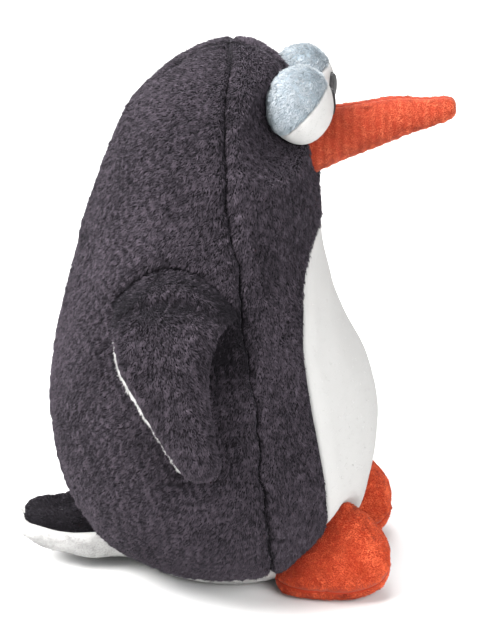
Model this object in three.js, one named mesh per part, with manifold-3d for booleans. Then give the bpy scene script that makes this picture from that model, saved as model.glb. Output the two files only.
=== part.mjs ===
// Plush penguin, a stuffed toy sewn from cut panels. Millimetres, +Z up.
// It faces -Y, stands on z = 0 and is mirrored about x = 0, so its own left side is +X.
// The origin is the middle of the flat base.
import * as THREE from 'three';
import { mergeVertices } from 'three/addons/utils/BufferGeometryUtils.js';
import Module from 'manifold-3d';

const wasm = await Module();
wasm.setup();

const PLUSH = 1.5; // thickness of the plush cloth
const GAP = 0.3; // clearance left between two pieces that touch
const SIDES = [['right', -1], ['left', 1]];

// Body: one level per row, as height, back, front and half width.
const BODY_LEVELS = [
  [7, 43, -45, 38.5],
  [14, 55, -53, 51],
  [25, 65, -60, 61.5],
  [45, 73.5, -67.5, 70],
  [70, 76, -70, 73],
  [100, 75.5, -65, 71],
  [130, 70, -53, 63.5],
  [160, 62.5, -44.5, 56],
  [185, 55, -43, 50.5],
  [205, 48, -41.5, 46],
  [222, 40, -37.5, 40],
  [237, 27, -29, 29.5],
  [247, 9, -17.5, 15],
  [250, -4, -4, 0],
];
const CROWN_Z = 249.6; // the four panels meet here, just short of the tip
const RIM_Z = BODY_LEVELS[0][0]; // the base panel is sewn in at this height
const STUFFING_INSET = 2.6; // from the outside of the plush to the stuffing
const BELLY_TOP_Z = 161;
const BELLY_WIDEST_Z = 90;
const BELLY_HALF_ANGLE = 47; // degrees to either side of the front
const BELLY_TAPER = 0.0025; // how fast it narrows below its widest, in degrees per square millimetre
// The seam from the crown down each side: height, degrees forward of the body's widest line.
const SIDE_SEAM = [[7, 27], [43, 21.5], [75, 19], [130, 22], [165, 21.5], [190, 12], [230, 6], [250, 4]];

const BASE_FLAT = { back: 30, front: -32, half: 26 };
const POUCH_RADIUS = 30;
const POUCH_TOP = 27;

const EYE_RADIUS = 14.6;
const EYE_STRETCH = 1.2; // an eye is this much taller than it is wide
const EYE_CENTRE = { side: 15, y: -35, z: 228.8 };
const LID_EDGE_ANGLE = 89; // from the middle of the white to the edge of the lid
const WHITE_TILT = 43; // the middle of the white looks this far down
const WHITE_TURN = 6; // and this far inwards
const PUPIL_TURN = 20; // the pupils look this far inwards
const PUPIL_SIZE = { width: 7.6, height: 11, thickness: 0.8 };

// Beak, from inside the face to the tip: y, height of the middle, radius.
const BEAK_LINE = [
  [-36, 205, 14],
  [-46.5, 208.6, 13],
  [-57, 212.2, 11.7],
  [-70, 216.3, 10.3],
  [-82, 219.3, 8.1],
  [-93, 221.6, 6],
  [-99, 222.6, 5.2],
  [-102, 223, 3.6],
  [-103, 223.1, 0.8],
];

const WING = {
  thickness: 6, // half of it, at the middle
  rootLean: 30, // degrees that the root faces upwards
  leanEnds: 0.3, // the share of its length where it hangs upright
  // down from the shoulder: height, front edge, rear edge, distance out from x = 0
  stations: [
    [163, -8, 42, 60],
    [149, -4, 43.5, 68],
    [130, 1, 41.5, 76],
    [114, 0.5, 33.5, 79.5],
    [101, -1.5, 25.5, 81],
    [90, -2.5, 18, 82],
    [81, 1, 11, 82],
  ],
};

const FOOT = { side: 31, toeY: -76.5, heelY: -27, halfWidth: 19, seamZ: 5, endDepth: 0.3 };
// toe to heel: share of the way, height
const FOOT_TOP = [[0, 9], [0.05, 17], [0.17, 31], [0.3, 39.5], [0.42, 43], [0.6, 39], [0.8, 28], [1, 14]];
const FOOT_OUTLINE = 2.4; // 2 is an ellipse from above, and more is squarer
const FOOT_DOME = 0.6; // below 1, the top is fuller than half a circle

const TAIL = {
  rootY: 52,
  tipY: 92,
  halfWidth: 20,
  roundedTo: 0.55, // the share of its length over which the tip rounds off
  seamZ: 21,
  crown: 4.5,
  depthRoot: 19.5,
  depthTip: 9,
};

// Where the sewn-on pieces turn: a point on each hinge, its axis and how far it goes, in degrees.
const HINGES = {
  wing_left: { at: [60, 15, 161], axis: [0, -1, 0], range: [0, 100] },
  wing_right: { at: [-60, 15, 161], axis: [0, 1, 0], range: [0, 100] },
  foot_left: { at: [31, -60, 39], axis: [-1, 0, 0], range: [0, 35] },
  foot_right: { at: [-31, -60, 39], axis: [-1, 0, 0], range: [0, 35] },
  tail: { at: [0, 66, 28], axis: [1, 0, 0], range: [0, 45] },
};

const plush = (color) => new THREE.MeshStandardMaterial({ color, roughness: 0.95, metalness: 0 });
const darkPlush = plush('#3f3b42');
const whitePlush = plush('#eeeeec');
const bluePlush = plush('#c0d3e0');
const orangePlush = plush('#d4532f');
const blackStitch = new THREE.MeshStandardMaterial({ color: '#141416', roughness: 0.6, metalness: 0 });
const fibre = plush('#f4f3ef');
const pouchCloth = plush('#d8d2c4');

const penguin = new THREE.Group();
const radians = THREE.MathUtils.degToRad;
const lerp = THREE.MathUtils.lerp;

// ---- closed meshes --------------------------------------------------------------------------

function solid(points, faces) {
  const geometry = new THREE.BufferGeometry();
  const numbers = points.flatMap((p) => [p.x, p.y, p.z]);
  geometry.setAttribute('position', new THREE.Float32BufferAttribute(numbers, 3));
  const across = new THREE.Vector3();
  let volume = 0;
  for (const [a, b, c] of faces) {
    volume += points[a].dot(across.crossVectors(points[b], points[c]));
  }
  geometry.setIndex((volume < 0 ? faces.map(([a, b, c]) => [a, c, b]) : faces).flat());
  return geometry;
}

function quad(faces, a, b, c, d) {
  faces.push([a, b, c], [a, c, d]);
}

// A sheet with thickness: outer(u, v) and inner(u, v) give its two faces for u and v from 0 to 1.
function sheet(outer, inner, across, rows) {
  const points = [];
  const grid = (face) => rows.map((v) => {
    const line = [];
    for (let i = 0; i <= across; i++) {
      line.push(points.length);
      points.push(face(i / across, v));
    }
    return line;
  });
  const out = grid(outer);
  const inn = grid(inner);
  const faces = [];
  const last = rows.length - 1;
  for (let j = 0; j < last; j++) {
    for (let i = 0; i < across; i++) {
      quad(faces, out[j][i], out[j][i + 1], out[j + 1][i + 1], out[j + 1][i]);
      quad(faces, inn[j][i], inn[j + 1][i], inn[j + 1][i + 1], inn[j][i + 1]);
    }
    quad(faces, out[j][0], out[j + 1][0], inn[j + 1][0], inn[j][0]);
    quad(faces, out[j][across], inn[j][across], inn[j + 1][across], out[j + 1][across]);
  }
  for (let i = 0; i < across; i++) {
    quad(faces, out[0][i], inn[0][i], inn[0][i + 1], out[0][i + 1]);
    quad(faces, out[last][i], out[last][i + 1], inn[last][i + 1], inn[last][i]);
  }
  return solid(points, faces);
}

// A closed body through rings of points, with its first and last ring filled flat.
function ringBody(rings) {
  const count = rings[0].length;
  const points = rings.flat();
  const faces = [];
  for (let j = 0; j + 1 < rings.length; j++) {
    for (let i = 0; i < count; i++) {
      const next = (i + 1) % count;
      quad(faces, j * count + i, j * count + next, (j + 1) * count + next, (j + 1) * count + i);
    }
  }
  for (const [ring, start, turn] of [[rings[0], 0, 1], [rings.at(-1), points.length - count, -1]]) {
    const centre = points.length;
    points.push(ring.reduce((sum, p) => sum.add(p), new THREE.Vector3()).divideScalar(count));
    for (let i = 0; i < count; i++) {
      const pair = [start + ((i + 1) % count), start + i];
      faces.push(turn > 0 ? [centre, ...pair] : [centre, pair[1], pair[0]]);
    }
  }
  return solid(points, faces);
}

function toManifold(geometry) {
  const bare = geometry.clone();
  bare.deleteAttribute('normal');
  bare.deleteAttribute('uv');
  const merged = mergeVertices(bare, 1e-4);
  return new wasm.Manifold(new wasm.Mesh({
    numProp: 3,
    vertProperties: merged.attributes.position.array,
    triVerts: new Uint32Array(merged.index.array),
  }));
}

function cut(geometry, ...tools) {
  let body = toManifold(geometry);
  for (const tool of tools) body = body.subtract(tool);
  const mesh = body.getMesh();
  const result = new THREE.BufferGeometry();
  result.setAttribute('position', new THREE.BufferAttribute(new Float32Array(mesh.vertProperties), 3));
  result.setIndex(new THREE.BufferAttribute(new Uint32Array(mesh.triVerts), 1));
  return result;
}

function add(name, geometry, material) {
  const mesh = new THREE.Mesh(geometry, material);
  mesh.name = name;
  penguin.add(mesh);
}

// ---- curves ---------------------------------------------------------------------------------

// A smooth value through rows of numbers, at a position counted in rows.
function through(rows, position, mirrorEnd = false) {
  const last = rows.length - 1;
  const k = Math.min(Math.max(Math.floor(position), 0), last - 1);
  const f = position - k;
  const mirrored = rows[last - 1].map((value, i) => (i === 0 ? value : 2 * rows[last][i] - value));
  const before = rows[Math.max(k - 1, 0)];
  const after = k + 2 <= last ? rows[k + 2] : mirrorEnd ? mirrored : rows[last];
  return rows[k].map((value, i) => {
    const next = rows[k + 1][i];
    const slope0 = (next - before[i]) / 2;
    const slope1 = (after[i] - value) / 2;
    const f2 = f * f;
    const f3 = f2 * f;
    return (2 * f3 - 3 * f2 + 1) * value + (f3 - 2 * f2 + f) * slope0
      + (3 * f2 - 2 * f3) * next + (f3 - f2) * slope1;
  });
}

function levelAt(z) {
  let low = 0;
  let high = BODY_LEVELS.length - 1;
  for (let i = 0; i < 40; i++) {
    const middle = (low + high) / 2;
    if (through(BODY_LEVELS, middle, true)[0] < z) low = middle;
    else high = middle;
  }
  return low;
}

// A point on the outside of the body: angle 0 is the middle of the back, 90 degrees the left side.
function bodyPoint(angle, level, inset = 0) {
  const at = (a, l) => {
    const [z, back, front, half] = through(BODY_LEVELS, l, true);
    return new THREE.Vector3(half * Math.sin(a), (back + front) / 2 + ((back - front) / 2) * Math.cos(a), z);
  };
  const point = at(angle, level);
  if (!inset) return point;
  const step = 1e-3;
  const along = at(angle + step, level).sub(at(angle - step, level));
  const up = at(angle, Math.min(level + step, BODY_LEVELS.length - 1)).sub(at(angle, level - step));
  const normal = up.cross(along).normalize();
  const outwards = new THREE.Vector3(Math.sin(angle), Math.cos(angle), 0);
  if (normal.dot(outwards) < 0) normal.negate();
  return point.addScaledVector(normal, -inset);
}

// A value read off straight lines between the rows of a table, by its first column.
function lookUp(table, at) {
  const step = Math.max(table.findIndex(([key]) => key >= at), 1);
  const [[key0, ...from], [key1, ...to]] = [table[step - 1], table[step]];
  const share = THREE.MathUtils.clamp((at - key0) / (key1 - key0), 0, 1);
  return from.map((value, i) => lerp(value, to[i], share));
}

const sideSeam = (z) => 90 + lookUp(SIDE_SEAM, z)[0];

function bellyEdge(z) {
  if (z >= BELLY_TOP_Z) return 0;
  if (z < BELLY_WIDEST_Z) return BELLY_HALF_ANGLE - BELLY_TAPER * (BELLY_WIDEST_Z - z) ** 2;
  const rise = (z - BELLY_WIDEST_Z) / (BELLY_TOP_Z - BELLY_WIDEST_Z);
  return BELLY_HALF_ANGLE * Math.sqrt(1 - rise * rise);
}

// ---- body -----------------------------------------------------------------------------------

const LOW_ROWS = [RIM_Z + GAP, 14, 25, 38, 54, 70, 88, 104, 118, 131, 143, 152, 157.5, 160.4];
const HIGH_ROWS = [165, 176, 188, 199, 209, 218, 226, 233, 239.5, 244.5, 248, CROWN_Z];

function bodyPanel(from, to, zRows, across) {
  const face = (inset) => (u, v) => {
    const level = levelAt(v);
    const [, back, front, half] = through(BODY_LEVELS, level, true);
    const seam = GAP / 2 / Math.max((half + (back - front) / 2) / 2, 3);
    const start = radians(from(v)) + seam;
    const end = radians(to(v)) - seam;
    return bodyPoint(lerp(start, end, u), level, inset);
  };
  return sheet(face(0), face(PLUSH), across, zRows);
}

const mirrored = (geometry) => {
  const copy = geometry.clone();
  copy.scale(-1, 1, 1);
  const index = copy.index.array;
  for (let i = 0; i < index.length; i += 3) [index[i], index[i + 1]] = [index[i + 1], index[i]];
  return copy;
};
const onSide = (geometry, sign) => (sign > 0 ? geometry : mirrored(geometry));

// The whole outside of the body, grown a little: what is sewn to it is cut back to this.
function bodyRings(inset, fromZ, count, everyRow = 1) {
  const fromTop = [...LOW_ROWS, ...HIGH_ROWS].reverse();
  const rows = fromTop.filter((z, i) => z > fromZ && i % everyRow === 0).reverse();
  return rows.map((z) => {
    const level = levelAt(z);
    return Array.from({ length: count }, (_, i) => bodyPoint((i / count) * 2 * Math.PI, level, inset));
  });
}
const flatRing = (size, z, count = 36) => Array.from({ length: count }, (_, i) => {
  const a = (i / count) * 2 * Math.PI;
  const middle = (size.back + size.front) / 2;
  return new THREE.Vector3(size.half * Math.sin(a), middle + ((size.back - size.front) / 2) * Math.cos(a), z);
});
const grown = (size, by) => ({ back: size.back + by, front: size.front - by, half: size.half + by });
const RIM = { back: BODY_LEVELS[0][1], front: BODY_LEVELS[0][2], half: BODY_LEVELS[0][3] };
const KEEP_OFF = -0.8;
const keepOut = toManifold(ringBody([
  flatRing(grown(BASE_FLAT, 1), -1),
  flatRing(grown(RIM, 1), RIM_Z - 2),
  ...bodyRings(KEEP_OFF, RIM_Z + 1, 36),
]));

function eyeBall(radius, centre) {
  const geometry = new THREE.SphereGeometry(radius, 20, 12);
  geometry.scale(1, 1, EYE_STRETCH);
  geometry.translate(centre.x, centre.y, centre.z);
  return toManifold(geometry);
}
const eyeCentre = (sign) => new THREE.Vector3(sign * EYE_CENTRE.side, EYE_CENTRE.y, EYE_CENTRE.z);
const eyeSockets = SIDES.map(([, sign]) => eyeBall(EYE_RADIUS + 1, eyeCentre(sign)));
const eyeClearance = SIDES.map(([, sign]) => eyeBall(EYE_RADIUS + 0.6, eyeCentre(sign)));

const backPanel = bodyPanel(() => 0, sideSeam, [...LOW_ROWS, ...HIGH_ROWS], 9);
const sidePanel = bodyPanel(sideSeam, (z) => 180 - bellyEdge(z), [...LOW_ROWS, ...HIGH_ROWS], 6);
for (const [side, sign] of SIDES) {
  add(`back_panel_${side}`, onSide(backPanel, sign), darkPlush);
  add(`side_panel_${side}`, cut(onSide(sidePanel, sign), ...eyeSockets), darkPlush);
}
const bellyFrom = (z) => 180 - bellyEdge(z);
const bellyTo = (z) => 180 + bellyEdge(z);
add('belly_panel', bodyPanel(bellyFrom, bellyTo, LOW_ROWS, 8), whitePlush);

// Base panel: a shallow dish with a flat middle, its edge turned up to the rim seam.
const BEND = grown(BASE_FLAT, 7);
add('base_panel', ringBody([
  flatRing(BASE_FLAT, 0),
  flatRing(BEND, 2),
  flatRing(grown(RIM, -1), RIM_Z - GAP),
  flatRing(grown(RIM, -1 - PLUSH), RIM_Z - GAP),
  flatRing(grown(BEND, -PLUSH), 2 + PLUSH),
  flatRing(grown(BASE_FLAT, -1), PLUSH),
]), whitePlush);

// Stuffing: one block of fibre, hollowed from below for the pouch of pellets that weighs it down.
const round = (radius) => ({ back: radius, front: -radius, half: radius });
add('body_stuffing', cut(ringBody([
  flatRing(round(POUCH_RADIUS + 1), POUCH_TOP + 1.5, 28),
  flatRing(round(POUCH_RADIUS + 1), RIM_Z + 2, 28),
  ...bodyRings(STUFFING_INSET, RIM_Z + 6, 28, 2),
]), ...eyeSockets), fibre);

const POUCH_SHAPE = [[0, 0.8], [0.12, 0.95], [0.4, 1], [0.7, 0.93], [0.9, 0.7], [1, 0.4]]; // height, radius
const POUCH_FLOOR = PLUSH + 0.6;
add('pellet_pouch', ringBody(POUCH_SHAPE.map(([rise, share]) => (
  flatRing(round(share * (POUCH_RADIUS - 1)), lerp(POUCH_FLOOR, POUCH_TOP - 1, rise), 24)
))), pouchCloth);

// ---- eyes -----------------------------------------------------------------------------------

// Rings round a pole, from one polar angle to another, on a ball of a given radius.
function polarRings(radius, from, to, steps, count = 18) {
  return Array.from({ length: steps + 1 }, (_, j) => {
    const polar = radians(lerp(from, to, j / steps));
    return Array.from({ length: count }, (_, i) => {
      const a = (i / count) * 2 * Math.PI;
      return new THREE.Vector3(
        radius * Math.sin(polar) * Math.cos(a),
        radius * Math.sin(polar) * Math.sin(a),
        radius * Math.cos(polar),
      );
    });
  });
}
const cap = (outer, inner, from, to, steps) => ringBody([
  ...polarRings(outer, from, to, steps),
  ...polarRings(inner, to, from, steps),
]);
const EYE_SEAM = 0.8; // degrees to either side of the seam between lid and white
const whiteCap = cap(EYE_RADIUS, EYE_RADIUS - 1, 8, LID_EDGE_ANGLE - EYE_SEAM, 4);
const lidCap = cap(EYE_RADIUS, EYE_RADIUS - 1, 180 - 8, LID_EDGE_ANGLE + EYE_SEAM, 5);

function pupil() {
  const count = 18;
  const layer = (share, radius) => Array.from({ length: count }, (_, i) => {
    const a = (i / count) * 2 * Math.PI;
    const across = (share * PUPIL_SIZE.width * Math.cos(a)) / 2;
    const up = (share * PUPIL_SIZE.height * Math.sin(a)) / 2;
    return new THREE.Vector3(across, -Math.sqrt(radius ** 2 - across ** 2 - up ** 2), up);
  });
  const low = EYE_RADIUS + GAP;
  const high = low + PUPIL_SIZE.thickness;
  return ringBody([layer(0.4, low), layer(1, low), layer(0.92, high), layer(0.4, high)]);
}

for (const [side, sign] of SIDES) {
  const centre = eyeCentre(sign);
  // the pole of the caps starts at +Z and is turned to look forwards and down
  const place = (geometry, turn, tilt) => {
    const placed = geometry.clone();
    placed.rotateX(tilt);
    placed.rotateZ(turn);
    placed.scale(1, 1, EYE_STRETCH);
    placed.translate(centre.x, centre.y, centre.z);
    return placed;
  };
  const tilt = radians(90 + WHITE_TILT);
  const turn = radians(-sign * WHITE_TURN);
  add(`eye_white_${side}`, place(whiteCap, turn, tilt), whitePlush);
  add(`eyelid_${side}`, place(lidCap, turn, tilt), bluePlush);
  const core = new THREE.SphereGeometry(EYE_RADIUS - 2, 14, 8);
  add(`eye_stuffing_${side}`, place(core, 0, 0), fibre);
  add(`pupil_${side}`, place(pupil(), radians(-sign * PUPIL_TURN), 0), blackStitch);
}

// ---- beak -----------------------------------------------------------------------------------

// The left wall of the beak: angle 0 is its top edge, 180 degrees its lower one.
function beakPoint(angle, row, inset) {
  const [y, z, radius] = BEAK_LINE[row];
  const tipInset = row > BEAK_LINE.length - 3 ? inset : 0;
  const size = Math.max(radius - inset, 0.4);
  return new THREE.Vector3(size * Math.sin(angle), y + tipInset, z + size * Math.cos(angle));
}
const beakHalf = (inset) => (u, v) => {
  const point = beakPoint(Math.PI * u, v, inset);
  point.x = Math.max(point.x, 0) + GAP / 2;
  return point;
};
const BEAK_ROWS = BEAK_LINE.map((_, row) => row);
const beakShell = sheet(beakHalf(0), beakHalf(PLUSH), 9, BEAK_ROWS);
for (const [side, sign] of SIDES) {
  add(`beak_${side}`, cut(onSide(beakShell, sign), keepOut, ...eyeClearance), orangePlush);
}
const BEAK_CORE_ROWS = BEAK_ROWS.slice(0, -2);
add('beak_stuffing', cut(ringBody(BEAK_CORE_ROWS.map((v) => (
  Array.from({ length: 18 }, (_, i) => beakPoint((i / 18) * 2 * Math.PI, v, PLUSH + 0.8))
))), keepOut, ...eyeClearance), fibre);

// ---- wings, tail and feet: each a pad of two halves sewn round the edge and filled -------------

// edge(v) gives the pad at v along it: its middle, its half width across and its two thicknesses.
function padHalf(edge, sign, rows, across, inset = 0) {
  const face = (skin) => (u, v) => {
    const { middle, across: side, half, out, up, down, flat = 1 } = edge(v);
    const angle = Math.PI * (u - 0.5);
    const width = Math.max(half - skin, 0.4);
    const height = Math.max((sign > 0 ? up : down) - skin, 0.1);
    return middle.clone()
      .addScaledVector(side, width * Math.sin(angle))
      .addScaledVector(out, sign * (GAP / 2 + height * Math.cos(angle) ** flat));
  };
  return sheet(face(inset), face(inset + PLUSH), across, rows);
}

function padCore(edge, rows, count = 16) {
  const inset = PLUSH + 0.7;
  return ringBody(rows.map((v) => {
    const { middle, across: side, half, out, up, down } = edge(v);
    const width = Math.max(half - inset - 0.4, 0.4);
    return Array.from({ length: count }, (_, i) => {
      const a = ((i + 0.5) / count) * 2 * Math.PI;
      const height = Math.max((Math.cos(a) > 0 ? up : down) - inset, 0.1);
      return middle.clone()
        .addScaledVector(side, width * Math.sin(a))
        .addScaledVector(out, height * Math.cos(a));
    });
  }));
}

const PAD_ROWS = [0, 0.08, 0.2, 0.34, 0.48, 0.62, 0.76, 0.88, 0.96, 1];
const CORE_ROWS = [0.06, 0.14, 0.26, 0.4, 0.55, 0.7, 0.84, 0.93];

// The left wing hangs from the shoulder; v runs from the shoulder down to the tip.
function wingEdge(v) {
  const [z, front, rear, out] = through(WING.stations, v * (WING.stations.length - 1));
  const lean = radians(WING.rootLean * Math.max(1 - v / WING.leanEnds, 0));
  const thick = WING.thickness * Math.min(1, 0.35 + v * 3, 0.35 + (1 - v) * 4);
  return {
    middle: new THREE.Vector3(out, (front + rear) / 2, z),
    across: new THREE.Vector3(0, 1, 0),
    out: new THREE.Vector3(Math.cos(lean), 0, Math.sin(lean)),
    half: (rear - front) / 2,
    up: thick,
    down: thick,
  };
}

function footEdge(v) {
  const y = lerp(FOOT.toeY, FOOT.heelY, v);
  const bow = Math.max(1 - Math.abs(2 * v - 1) ** FOOT_OUTLINE, 0.012);
  const width = FOOT.halfWidth * bow ** (1 / FOOT_OUTLINE);
  const depth = lerp(1, FOOT.endDepth, Math.abs(2 * v - 1) ** 3);
  return {
    middle: new THREE.Vector3(FOOT.side, y, FOOT.seamZ),
    across: new THREE.Vector3(1, 0, 0),
    out: new THREE.Vector3(0, 0, 1),
    half: width,
    up: lookUp(FOOT_TOP, v)[0] - FOOT.seamZ,
    down: (FOOT.seamZ - GAP) * depth,
    flat: FOOT_DOME,
  };
}

function tailEdge(v) {
  const y = lerp(TAIL.tipY, TAIL.rootY, v);
  const short = Math.max(1 - v / TAIL.roundedTo, 0);
  const width = TAIL.halfWidth * Math.sqrt(Math.max(1 - short ** 2, 0.01));
  const tip = Math.min(1, 0.3 + v * 4);
  return {
    middle: new THREE.Vector3(0, y, TAIL.seamZ),
    across: new THREE.Vector3(1, 0, 0),
    out: new THREE.Vector3(0, 0, 1),
    half: width,
    up: TAIL.crown * tip,
    down: lerp(TAIL.depthTip, TAIL.depthRoot, Math.min(1, v * 2)) * tip,
  };
}

for (const [side, sign] of SIDES) {
  const wing = (geometry) => cut(onSide(geometry, sign), keepOut);
  add(`wing_${side}_outer`, wing(padHalf(wingEdge, 1, PAD_ROWS, 8)), darkPlush);
  add(`wing_${side}_underside`, wing(padHalf(wingEdge, -1, PAD_ROWS, 8)), whitePlush);
  add(`wing_${side}_stuffing`, wing(padCore(wingEdge, CORE_ROWS)), fibre);
}
for (const [side, sign] of SIDES) {
  const foot = (geometry) => cut(onSide(geometry, sign), keepOut);
  add(`foot_${side}_top`, foot(padHalf(footEdge, 1, PAD_ROWS, 8)), orangePlush);
  add(`foot_${side}_sole`, foot(padHalf(footEdge, -1, PAD_ROWS, 8)), orangePlush);
  add(`foot_${side}_stuffing`, foot(padCore(footEdge, CORE_ROWS)), fibre);
}
add('tail_top', cut(padHalf(tailEdge, 1, PAD_ROWS, 8), keepOut), darkPlush);
add('tail_underside', cut(padHalf(tailEdge, -1, PAD_ROWS, 8), keepOut), whitePlush);
add('tail_stuffing', cut(padCore(tailEdge, CORE_ROWS), keepOut), fibre);

penguin.userData.hinges = HINGES;

export default penguin;
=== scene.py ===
# Plush penguin: the soft skins, with their pile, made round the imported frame.
# It faces -Y and stands on z = 0. Lengths here are millimetres; MM turns them into metres.
import math
import bpy
import numpy as np
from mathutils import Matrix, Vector


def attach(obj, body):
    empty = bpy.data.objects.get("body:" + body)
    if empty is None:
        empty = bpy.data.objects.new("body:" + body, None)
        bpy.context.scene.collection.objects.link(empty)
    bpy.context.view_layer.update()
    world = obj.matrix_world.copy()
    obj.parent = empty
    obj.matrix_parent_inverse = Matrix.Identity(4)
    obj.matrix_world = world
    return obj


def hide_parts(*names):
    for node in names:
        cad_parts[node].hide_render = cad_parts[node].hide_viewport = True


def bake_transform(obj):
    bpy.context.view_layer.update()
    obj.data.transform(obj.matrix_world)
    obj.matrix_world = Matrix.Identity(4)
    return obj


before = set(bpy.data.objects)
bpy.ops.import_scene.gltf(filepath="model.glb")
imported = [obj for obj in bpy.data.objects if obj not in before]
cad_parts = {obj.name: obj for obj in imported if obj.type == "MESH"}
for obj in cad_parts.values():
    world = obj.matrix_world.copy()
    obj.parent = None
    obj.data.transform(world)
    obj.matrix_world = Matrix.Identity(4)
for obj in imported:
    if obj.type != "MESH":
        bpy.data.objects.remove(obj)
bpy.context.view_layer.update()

MM = 0.001
CLOTH = 1.2  # thickness of the plush without its pile
SIDES = (("right", -1), ("left", 1))
PILE_MAP = "OFBake"  # each skin's own map: across it the tone, up it from root to tip

# ---- camera, light and floor ----

VIEW_TURN = -87.5  # degrees round from the front, towards the penguin's right side
VIEW_RISE = 23.5
VIEW_DISTANCE = 1650
VIEW_CENTRE = (0, -12.4, 121.6)
LENS = 208.2


def spherical(turn, rise, distance):
    """A place seen from the origin: degrees round from -Y, degrees up, and millimetres away."""
    turn, rise = math.radians(turn), math.radians(rise)
    level = distance * math.cos(rise)
    return np.array([level * math.sin(turn), -level * math.cos(turn), distance * math.sin(rise)])


def aim(thing, place, target):
    """Puts a camera or a light at a place, looking at a target."""
    thing.location = Vector(place) * MM
    thing.rotation_euler = (Vector(target) - Vector(place)).to_track_quat("-Z", "Y").to_euler()


def add_camera():
    bpy.ops.object.camera_add()
    camera = bpy.context.object
    camera.data.lens = LENS
    camera.data.clip_end = 20
    aim(camera, spherical(VIEW_TURN, VIEW_RISE, VIEW_DISTANCE) + np.array(VIEW_CENTRE), VIEW_CENTRE)
    bpy.context.scene.camera = camera


# name, degrees round, degrees up, distance, width, watts, colour
LIGHTS = (
    ("window", -150, 46, 900, 500, 18, (1, 0.99, 0.98)),
    ("fill", -52, 26, 1200, 700, 14, (1, 1, 1)),
    ("far_side", 100, 40, 1000, 700, 9, (1, 1, 1)),
    ("overhead", 180, 80, 1000, 600, 10, (1, 1, 1)),
    ("behind", -178, 28, 1000, 500, 8, (1, 1, 1)),
)
LIT_POINT = (0, 0, 120)
SKY_STRENGTH = 0.36
FLOOR_WIDTH = 12  # metres
FLOOR_TONE = (0.78, 0.78, 0.78)


def new_material(name, roughness):
    """A material, its nodes, its links and its shader."""
    material = bpy.data.materials.new(name)
    material.use_nodes = True
    nodes = material.node_tree.nodes
    shader = nodes["Principled BSDF"]
    shader.inputs["Roughness"].default_value = roughness
    return material, nodes, material.node_tree.links, shader


def deselect_all():
    bpy.ops.object.select_all(action="DESELECT")


def add_studio():
    for name, turn, rise, distance, width, watts, colour in LIGHTS:
        bpy.ops.object.light_add(type="AREA")
        light = bpy.context.object
        light.name = name
        light.data.energy = watts
        light.data.color = colour
        light.data.size = width * MM
        aim(light, spherical(turn, rise, distance) + np.array(LIT_POINT), LIT_POINT)
    world = bpy.data.worlds.new("studio")
    world.use_nodes = True
    background = world.node_tree.nodes["Background"]
    background.inputs["Color"].default_value = (1, 1, 1, 1)
    background.inputs["Strength"].default_value = SKY_STRENGTH
    bpy.context.scene.world = world
    bpy.context.scene.view_settings.view_transform = "Standard"

    deselect_all()
    bpy.ops.mesh.primitive_plane_add(size=FLOOR_WIDTH)
    floor = bpy.context.object
    floor.name = "floor"
    paper, _, _, shader = new_material("white_paper", 0.9)
    shader.inputs["Base Color"].default_value = (*FLOOR_TONE, 1)
    shader.inputs["Specular IOR Level"].default_value = 0.1
    floor.data.materials.append(paper)


# ---- small sums ----

WAVES = 18


def unit(vectors):
    return vectors / np.maximum(np.linalg.norm(vectors, axis=-1, keepdims=True), 1e-9)


def waver(points, size, seed):
    """A smooth random value, mostly between -1 and 1, that changes over the given size."""
    rng = np.random.default_rng(seed)
    ways = unit(rng.normal(size=(WAVES, 3))) * rng.uniform(0.6, 1.5, (WAVES, 1)) * math.pi / size
    total = np.zeros(len(points))
    for way, phase in zip(ways, rng.uniform(0, 2 * math.pi, WAVES)):
        total += np.sin(points @ way + phase)
    return total / math.sqrt(WAVES / 2) * 0.7


def through(rows, position):
    """A smooth curve through rows of numbers, at positions counted in rows."""
    rows = np.array(rows, float)
    last = len(rows) - 1
    padded = np.vstack([rows[:1], rows, rows[-1:]])
    position = np.clip(np.asarray(position, float), 0, last)
    k = np.minimum(position.astype(int), last - 1)
    f = (position - k)[..., None]
    before, here, after, beyond = (padded[k + i] for i in range(4))
    slope0 = (after - before) / 2
    slope1 = (beyond - here) / 2
    f2, f3 = f * f, f * f * f
    return ((2 * f3 - 3 * f2 + 1) * here + (f3 - 2 * f2 + f) * slope0
            + (3 * f2 - 2 * f3) * after + (f3 - f2) * slope1)


def hump(distance, width):
    """1 on a line or point, falling to nothing a few widths away."""
    return np.exp(-(distance / width) ** 2)


def smooth_step(value, low, high):
    """0 at low and 1 at high; low may be the larger of the two."""
    t = np.clip((value - low) / (high - low), 0, 1)
    return t * t * (3 - 2 * t)


def same_way(*way):
    """A comb or a centre that is the same at every point."""
    return lambda points: np.tile(np.array(way, float), (len(points), 1))


def mottled(tone, change, size, seed):
    """A tone that wavers a little over the given size."""
    return lambda points: tone + change * waver(points, size, seed)


# ---- the body's surface ----

# Each level's height, back, front and half width.
BODY_LEVELS = (
    (7, 40, -45, 32.5),
    (14, 51, -53, 44.5),
    (25, 61, -60, 58.5),
    (45, 71, -67.5, 69),
    (70, 76, -70, 73),
    (100, 75.5, -65, 71),
    (130, 70, -53, 63.5),
    (160, 62.5, -44.5, 56),
    (185, 55, -43, 50.5),
    (205, 48, -41.5, 46),
    (222, 40, -37.5, 40),
    (237, 27, -29, 29.5),
    (247, 9, -17.5, 15),
    (250, -4, -4, 0),
)
CROWN_Z = 249.8
CROWN = np.array([0.0, -4.0])  # where the panels meet on top
SOCKET_SOFTNESS = 0.9  # how gently the head rounds into the eye sockets
RIM_Z = 7
BELLY_TOP_Z = 169
BELLY_WIDEST_Z = 90
BELLY_HALF_ANGLE = 47
# The side seam: height, degrees forward of the body's widest line.
SIDE_SEAM = ((7, 27), (43, 21.5), (75, 19), (130, 22), (165, 21.5), (190, 12), (230, 6), (250, 4))

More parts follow.
